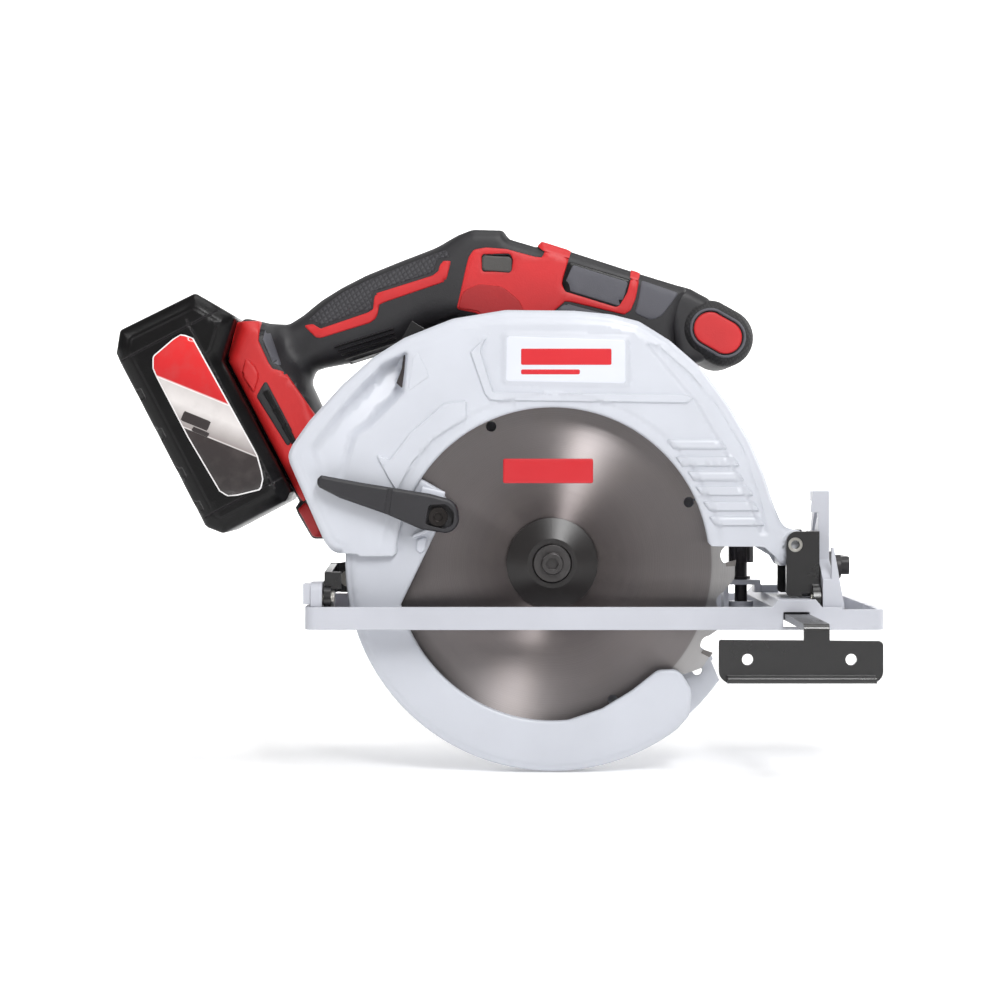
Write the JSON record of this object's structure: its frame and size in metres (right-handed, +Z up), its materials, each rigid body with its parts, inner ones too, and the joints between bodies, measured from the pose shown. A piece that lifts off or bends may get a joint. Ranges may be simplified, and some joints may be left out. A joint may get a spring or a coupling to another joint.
{
  "type": "cordless circular saw",
  "caption": "Cordless circular saw: guarded round blade, tilting base with rip fence, D-shaped handle and slide-on battery pack.",
  "frame": {"origin": "on the sole, straight under the blade's centre, in the blade's middle plane", "axes": "+X the cutting direction, +Y from the blade to the motor, +Z up from the sole"},
  "size_m": [0.3426, 0.238, 0.2453],
  "materials": {
    "light_grey": "satin die-cast paint, light grey",
    "guard_grey": "satin die-cast paint, light grey",
    "black_steel": "semi-gloss black stamped steel",
    "zinc": "zinc plated steel",
    "black_plastic": "fine-grained black moulding",
    "button_grey": "dark grey moulding",
    "handle_shell": "red and black moulded housing",
    "grip_rubber": "textured overmould",
    "red_inset": "red inlay",
    "housing": "black motor housing",
    "cast_alloy": "bare die-cast alloy",
    "blade_steel": "ground blade steel with a dark centre",
    "carbide": "sintered carbide",
    "turned_steel": "turned steel",
    "lamination": "stacked laminations",
    "fan_plastic": "glass-filled fan moulding",
    "board": "circuit board",
    "battery_black": "black battery case",
    "cell_wrap": "shrink wrap",
    "label": "printed film with plain colour fields"
  },
  "bodies": {
    "base": {"base_plate": "light_grey", "bevel_quadrant": "light_grey", "rear_ear": "light_grey", "base_rivets": "zinc", "fence_clamp_plate": "zinc"},
    "fence_screw": {"fence_clamp_knob": "black_plastic"},
    "fence": {"rip_fence": "black_steel"},
    "tilt_frame": {"front_bracket": "black_steel", "rear_bracket": "black_steel", "depth_guide": "black_steel", "guide_rivets": "zinc", "bevel_pins": "zinc", "depth_pivot_pin": "zinc", "bevel_bolt": "zinc"},
    "bevel_knob": {"bevel_knob": "black_plastic"},
    "saw": {"upper_guard": "guard_grey", "gear_case": "cast_alloy", "gear_cover": "cast_alloy", "guard_retainer": "zinc", "front_spindle_bearing": "turned_steel", "rear_spindle_bearing": "turned_steel", "front_rotor_bearing": "turned_steel", "rear_rotor_bearing": "turned_steel", "motor_housing": "housing", "motor_cap": "black_plastic", "stator": "lamination", "gear_case_screws": "zinc", "depth_clamp_bolt": "zinc", "right_shell": "handle_shell", "left_shell": "handle_shell", "grip_rubber": "grip_rubber", "front_grip": "grip_rubber", "grip_insets": "red_inset", "shell_screws": "zinc", "switch_module": "black_plastic", "controller_board": "board", "terminal_block": "black_plastic", "guard_spring": "turned_steel"},
    "spindle": {"spindle": "turned_steel", "outer_flange": "turned_steel", "inner_flange": "turned_steel", "blade_bolt": "turned_steel", "saw_blade": "blade_steel", "carbide_teeth": "carbide", "large_gear": "turned_steel"},
    "rotor": {"rotor_shaft": "turned_steel", "rotor_core": "lamination", "cooling_fan": "fan_plastic"},
    "lower_guard": {"lower_guard": "guard_grey", "guard_lever": "black_plastic", "lever_screw": "zinc"},
    "trigger": {"trigger": "black_plastic"},
    "lock_off_button": {"lock_off_button": "button_grey"},
    "spindle_lock": {"spindle_lock": "black_plastic"},
    "depth_lever": {"depth_lever": "black_plastic"},
    "battery": {"battery_rail_half": "battery_black", "battery_outer_half": "battery_black", "battery_cells": "cell_wrap", "battery_label": "label"},
    "battery_latch": {"battery_latch": "battery_black"}
  },
  "joints": [
    {"name": "bevel_tilt", "type": "hinge", "parent": "base", "child": "tilt_frame", "pos_m": [0, -0.0195, 0.013], "axis": [1, 0, 0], "range_deg": [0, 45]},
    {"name": "depth_swing", "type": "hinge", "parent": "tilt_frame", "child": "saw", "pos_m": [0.107, 0, 0.037], "axis": [0, 1, 0], "range_deg": [0, 29]},
    {"name": "spindle_spin", "type": "hinge", "parent": "saw", "child": "spindle", "pos_m": [0, 0, 0.0282], "axis": [0, 1, 0], "continuous": true},
    {"name": "rotor_spin", "type": "hinge", "parent": "saw", "child": "rotor", "pos_m": [0.00769, 0.08, 0.04934], "axis": [0, 1, 0], "continuous": true},
    {"name": "lower_guard_swing", "type": "hinge", "parent": "saw", "child": "lower_guard", "pos_m": [0, 0, 0.0282], "axis": [0, 1, 0], "range_deg": [0, 105], "stiffness_Nm_per_rad": 0.12, "springref_deg": -57.3},
    {"name": "trigger_pull", "type": "slide", "parent": "saw", "child": "trigger", "axis": [-0.36, 0, 0.933], "range_m": [0, 0.006], "stiffness_N_per_m": 900, "springref_m": -0.003},
    {"name": "lock_off_press", "type": "slide", "parent": "saw", "child": "lock_off_button", "axis": [0, 1, 0], "range_m": [0, 0.0024], "stiffness_N_per_m": 700, "springref_m": -0.002},
    {"name": "spindle_lock_press", "type": "slide", "parent": "saw", "child": "spindle_lock", "axis": [-1, 0, 0], "range_m": [0, 0.0025], "stiffness_N_per_m": 700, "springref_m": -0.002},
    {"name": "depth_lever_turn", "type": "hinge", "parent": "saw", "child": "depth_lever", "pos_m": [-0.08297, 0.03, 0.03368], "axis": [0, 1, 0], "range_deg": [0, 40]},
    {"name": "battery_slide", "type": "slide", "parent": "saw", "child": "battery", "axis": [-0.4617, 0, 0.887], "range_m": [0, 0.08]},
    {"name": "battery_latch_press", "type": "slide", "parent": "battery", "child": "battery_latch", "axis": [0.4617, 0, -0.887], "range_m": [0, 0.0012], "stiffness_N_per_m": 900, "springref_m": -0.002},
    {"name": "fence_slide", "type": "slide", "parent": "base", "child": "fence", "axis": [0, 1, 0], "range_m": [-0.1, 0.073]},
    {"name": "fence_screw_turn", "type": "hinge", "parent": "base", "child": "fence_screw", "pos_m": [0.0886, 0.046, 0.02], "axis": [0, 0, 1], "range_deg": [0, 270]},
    {"name": "bevel_knob_turn", "type": "hinge", "parent": "tilt_frame", "child": "bevel_knob", "pos_m": [0.128, 0.02044, 0.02598], "axis": [1, 0, 0], "range_deg": [0, 60]}
  ],
  "couplings": [
    {"joint": "rotor_spin", "follows": "spindle_spin", "ratio": -7.5714}
  ]
}
